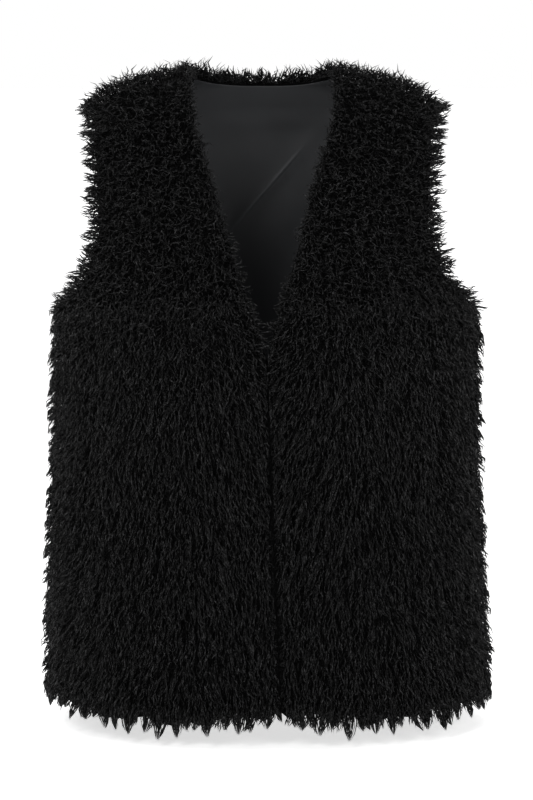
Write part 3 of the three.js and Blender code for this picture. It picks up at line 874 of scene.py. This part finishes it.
def node_material(name):
    """A material with its nodes, its links, its shader and the socket that gives the place on the object."""
    material = bpy.data.materials.new(name)
    material.use_nodes = True
    nodes, links = material.node_tree.nodes, material.node_tree.links
    nodes.clear()
    output = nodes.new("ShaderNodeOutputMaterial")
    shader = nodes.new("ShaderNodeBsdfPrincipled")
    links.new(shader.outputs["BSDF"], output.inputs["Surface"])
    return material, nodes, links, shader, nodes.new("ShaderNodeTexCoord").outputs["Object"]


def noise(nodes, links, place, scale, detail=2.0, roughness=0.5):
    made = nodes.new("ShaderNodeTexNoise")
    made.inputs["Scale"].default_value = scale
    made.inputs["Detail"].default_value = detail
    made.inputs["Roughness"].default_value = roughness
    links.new(place, made.inputs["Vector"])
    return made


def ramp(nodes, links, value, stops):
    made = nodes.new("ShaderNodeValToRGB")
    elements = made.color_ramp.elements
    while len(elements) < len(stops):
        elements.new(0.5)
    for element, (position, color) in zip(elements, stops):
        element.position = position
        element.color = (*color, 1)
    links.new(value, made.inputs["Fac"])
    return made


def relief(nodes, links, height, strength, distance, under=None):
    """A bump, on top of another one if there is one under it."""
    made = nodes.new("ShaderNodeBump")
    made.inputs["Strength"].default_value = strength
    made.inputs["Distance"].default_value = distance
    links.new(height, made.inputs["Height"])
    if under:
        links.new(under, made.inputs["Normal"])
    return made.outputs["Normal"]


def fur_material(name, dark, light, glossy, dull, specular):
    """Black fibre: a random grain from nearly black to grey whose grey specks are also painted glints, glossy
    flecks, and fine ridges that catch the light.
    """
    material, nodes, links, shader, place = node_material(name)
    # The grey specks of the grain are partly random tone and partly painted glints
    grain_and_painted_glints = noise(nodes, links, place, GRAIN_SCALE, 1)
    tint = ramp(nodes, links, grain_and_painted_glints.outputs["Fac"], [(0.49, dark), (0.58, light)])
    links.new(tint.outputs["Color"], shader.inputs["Base Color"])
    flecks = noise(nodes, links, place, FLECK_SCALE, 1)
    rough = ramp(nodes, links, flecks.outputs["Fac"], [(0.46, (dull,) * 3), (0.58, (glossy,) * 3)])
    links.new(rough.outputs["Color"], shader.inputs["Roughness"])
    ridges = noise(nodes, links, place, FIBRE_SCALE, 3, 0.7)
    links.new(relief(nodes, links, ridges.outputs["Fac"], 1.0, FIBRE_HEIGHT), shader.inputs["Normal"])
    shader.inputs["Specular IOR Level"].default_value = specular
    return material


def along_line(nodes, links, place, way, start):
    """How far a place lies along a way from a start, in metres."""
    dot = nodes.new("ShaderNodeVectorMath")
    dot.operation = "DOT_PRODUCT"
    dot.inputs[1].default_value = way
    links.new(place, dot.inputs[0])
    shifted = nodes.new("ShaderNodeMath")
    shifted.operation = "SUBTRACT"
    shifted.inputs[1].default_value = Vector(way).dot(Vector(start))
    links.new(dot.outputs["Value"], shifted.inputs[0])
    return shifted.outputs["Value"]


def faded(nodes, links, value, full, gone):
    """1 where a value is within one distance of zero, and 0 from another distance on."""
    size = nodes.new("ShaderNodeMath")
    size.operation = "ABSOLUTE"
    links.new(value, size.inputs[0])
    span = nodes.new("ShaderNodeMapRange")
    span.interpolation_type = "SMOOTHSTEP"
    span.inputs["From Min"].default_value = gone
    span.inputs["From Max"].default_value = full
    links.new(size.outputs["Value"], span.inputs["Value"])
    return span.outputs["Result"]


def crease_line(nodes, links, place):
    """The crisp ridge of the crease, finer than the mesh of the lining. It gives the crease its bump and its
    painted highlight.
    """
    low_x, low_z = (value * MM for value in CREASE["low"])
    high_x, high_z = (value * MM for value in CREASE["high"])
    length = math.hypot(high_x - low_x, high_z - low_z)
    way = ((high_x - low_x) / length, 0, (high_z - low_z) / length)
    middle = ((low_x + high_x) / 2, 0, (low_z + high_z) / 2)
    across = along_line(nodes, links, place, (-way[2], 0, way[0]), middle)
    along = along_line(nodes, links, place, way, middle)
    full, gone = (share * length for share in CREASE_FADE)
    ridge = faded(nodes, links, across, 0, CREASE_WIDTH)
    reach = faded(nodes, links, along, full, gone)
    both = nodes.new("ShaderNodeMath")
    both.operation = "MULTIPLY"
    links.new(ridge, both.inputs[0])
    links.new(reach, both.inputs[1])
    return both.outputs["Value"]


def satin_material():
    """Charcoal satin: a fine twill, slow changes of sheen, soft wrinkles and the crisp line of the crease, with
    a painted highlight along it.
    """
    material, nodes, links, shader, place = node_material("lining_satin")
    clouds = noise(nodes, links, place, CLOUD_SCALE)
    tint = ramp(nodes, links, clouds.outputs["Fac"], [(0.3, SATIN_DARK), (0.7, SATIN_LIGHT)])
    crease = crease_line(nodes, links, place)
    # Painted highlight: the base colour is lighter along the ridge of the crease
    crease_painted_highlight = nodes.new("ShaderNodeMix")
    crease_painted_highlight.data_type = "RGBA"
    factor, plain, painted_highlight_colour = (crease_painted_highlight.inputs[k] for k in (0, 6, 7))
    painted_highlight_colour.default_value = CREASE_PAINTED_HIGHLIGHT
    links.new(crease, factor)
    links.new(tint.outputs["Color"], plain)
    links.new(crease_painted_highlight.outputs[2], shader.inputs["Base Color"])
    sheen = ramp(nodes, links, clouds.outputs["Fac"], [(0.3, (0.46,) * 3), (0.7, (0.54,) * 3)])
    links.new(sheen.outputs["Color"], shader.inputs["Roughness"])
    twill = nodes.new("ShaderNodeTexWave")
    twill.wave_type = "BANDS"
    twill.bands_direction = "DIAGONAL"
    twill.inputs["Scale"].default_value = TWILL_SCALE
    twill.inputs["Distortion"].default_value = 0.6
    links.new(place, twill.inputs["Vector"])
    wrinkles = noise(nodes, links, place, WRINKLE_SCALE, roughness=0.45)
    fine = relief(nodes, links, twill.outputs["Fac"], 0.12, TWILL_HEIGHT)
    soft = relief(nodes, links, wrinkles.outputs["Fac"], 0.35, WRINKLE_HEIGHT, fine)
    links.new(relief(nodes, links, crease, 1.0, CREASE_HEIGHT, soft), shader.inputs["Normal"])
    shader.inputs["Specular IOR Level"].default_value = 0.4
    return material


pile_black = fur_material(
    "fur_pile", dark=(0.001, 0.001, 0.0011), light=(0.029, 0.029, 0.03), glossy=0.26, dull=0.85, specular=0.24)
# The cloth under the pile is black, and is made darker than the fibre as painted shade in the gaps of the pile
ground_black_painted_shade = fur_material(
    "fur_ground", dark=(0.0004, 0.0004, 0.0004), light=(0.004, 0.004, 0.0042), glossy=0.6, dull=0.95,
    specular=0.06)
satin = satin_material()

rng = np.random.default_rng(20260)
# The pieces that the pile of each cloth is split into
CLOTHS = {
    "front_left": ("lower", "upper"),
    "front_right": ("lower", "upper"),
    "back": ("lower", "middle", "upper"),
}


def finished(piece, material, node):
    piece.data.materials.append(material)
    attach(piece, "root")
    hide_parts(node)


for cloth, parts in CLOTHS.items():
    field = Field(cloth)
    arm_span = (field.climb[UNDERARM_ROW] / field.climb[-1] + ARM_FRINGE_START, 1)
    groups = [
        body_strands(field, rng, STRAND_SPACING),
        edge_locks(field, rng, "hem", (0, 1), **HEM_TUFTS),
        edge_locks(field, rng, "hem", (0, 1), **HEM_FRINGE),
        edge_locks(field, rng, "last", arm_span, **ARM_FRINGE),
        side_locks(field, rng, SIDE_LOCKS, "last"),
    ]
    if cloth == "back":
        groups += [
            edge_locks(field, rng, "first", arm_span, **ARM_FRINGE),
            side_locks(field, rng, SIDE_LOCKS, "first"),
            edge_locks(field, rng, "top", NECK_SPAN, **NECK_TUFTS),
            edge_locks(field, rng, "top", NECK_SPAN, **NECK_FRINGE),
        ]
    else:
        groups += [
            edge_locks(field, rng, "first", (0, V_START), **OPENING_FRINGE),
            edge_locks(field, rng, "first", (V_START, 1), **V_FRINGE),
            rope_locks(field, rng, ROPE_LOCKS),
        ]
    made = fur(cloth, [f"fur_{cloth}_{part}" for part in parts], groups, rng)
    for piece in made:
        finished(piece, pile_black, cloth)
    ground = fur_shell(cloth)
    finished(ground, ground_black_painted_shade, cloth)
    lining = lining_shell(cloth)
    finished(lining, satin, f"lining_{cloth}")

# The floor, which is pale and glows a little, and the lights
FLOOR_Z = -0.634
FLOOR_RADIUS = 14
FLOOR_GLOW = 0.61
WORLD_LIGHT = 0.12
OVERHEAD = 2.1
OVERHEAD_SPREAD = math.radians(70)

# Name, place, aim, size and watts of each softbox
SOFTBOXES = [
    ("key", (-1.1, -2.4, 1.5), (0, 0, -0.25), (0.8, 0.8), 31),
    ("fill", (1.4, -2.2, 0.9), (0, 0, -0.3), (0.9, 0.9), 17),
    ("left_side", (-2.0, -0.2, 0.3), (0, 0, -0.3), (0.6, 1.4), 11),
    ("right_side", (2.0, -0.2, 0.3), (0, 0, -0.3), (0.6, 1.4), 11),
]

bpy.ops.mesh.primitive_circle_add(vertices=128, radius=FLOOR_RADIUS, fill_type="NGON", location=(0, 0, FLOOR_Z))
floor = bpy.context.active_object
floor.name = "floor"
white, _, _, shader, _ = node_material("pale_floor")
shader.inputs["Base Color"].default_value = (0.9, 0.9, 0.9, 1)
shader.inputs["Emission Color"].default_value = (1, 1, 1, 1)
shader.inputs["Emission Strength"].default_value = FLOOR_GLOW
shader.inputs["Roughness"].default_value = 0.8
shader.inputs["Specular IOR Level"].default_value = 0.2
floor.data.materials.append(white)

# The camera sees the world plain white, and the vest is lit by it softly
world = bpy.data.worlds.new("studio")
world.use_nodes = True
soft_light = world.node_tree.nodes["Background"]
soft_light.inputs["Color"].default_value = (1, 1, 1, 1)
soft_light.inputs["Strength"].default_value = WORLD_LIGHT
backdrop = world.node_tree.nodes.new("ShaderNodeBackground")
backdrop.inputs["Color"].default_value = (1, 1, 1, 1)
seen = world.node_tree.nodes.new("ShaderNodeLightPath")
either = world.node_tree.nodes.new("ShaderNodeMixShader")
join = world.node_tree.links.new
join(seen.outputs["Is Camera Ray"], either.inputs["Fac"])
join(soft_light.outputs["Background"], either.inputs[1])
join(backdrop.outputs["Background"], either.inputs[2])
join(either.outputs["Shader"], world.node_tree.nodes["World Output"].inputs["Surface"])
bpy.context.scene.world = world

sun_data = bpy.data.lights.new("overhead", "SUN")
sun_data.energy = OVERHEAD
sun_data.angle = OVERHEAD_SPREAD
sun = bpy.data.objects.new("overhead", sun_data)
sun.rotation_euler = (math.radians(-14), math.radians(-10), 0)
bpy.context.scene.collection.objects.link(sun)


def softbox(name, place, aim, size, watts):
    light = bpy.data.lights.new(name, "AREA")
    light.shape = "RECTANGLE"
    light.size, light.size_y = size
    light.energy = watts
    lamp = bpy.data.objects.new(name, light)
    lamp.location = place
    lamp.rotation_euler = (Vector(aim) - Vector(place)).to_track_quat("-Z", "Y").to_euler()
    lamp.visible_camera = False
    bpy.context.scene.collection.objects.link(lamp)


for box in SOFTBOXES:
    softbox(*box)

# The camera looks 8 degrees down from 3.2 m, with the photograph's frame 784 mm high at the vest
CAMERA_RANGE = 3.2
CAMERA_TILT = math.radians(8)
FRAME_HEIGHT = 0.784
SENSOR = 36
aim = Vector((0.00098, 0, -0.3147))
camera_data = bpy.data.cameras.new("camera")
camera_data.sensor_width = SENSOR
camera_data.lens = SENSOR * CAMERA_RANGE / FRAME_HEIGHT
camera = bpy.data.objects.new("camera", camera_data)
camera.location = aim + CAMERA_RANGE * Vector((0, -math.cos(CAMERA_TILT), math.sin(CAMERA_TILT)))
camera.rotation_euler = (aim - camera.location).to_track_quat("-Z", "Y").to_euler()
bpy.context.scene.collection.objects.link(camera)
bpy.context.scene.camera = camera
bpy.context.scene.view_settings.view_transform = "Standard"
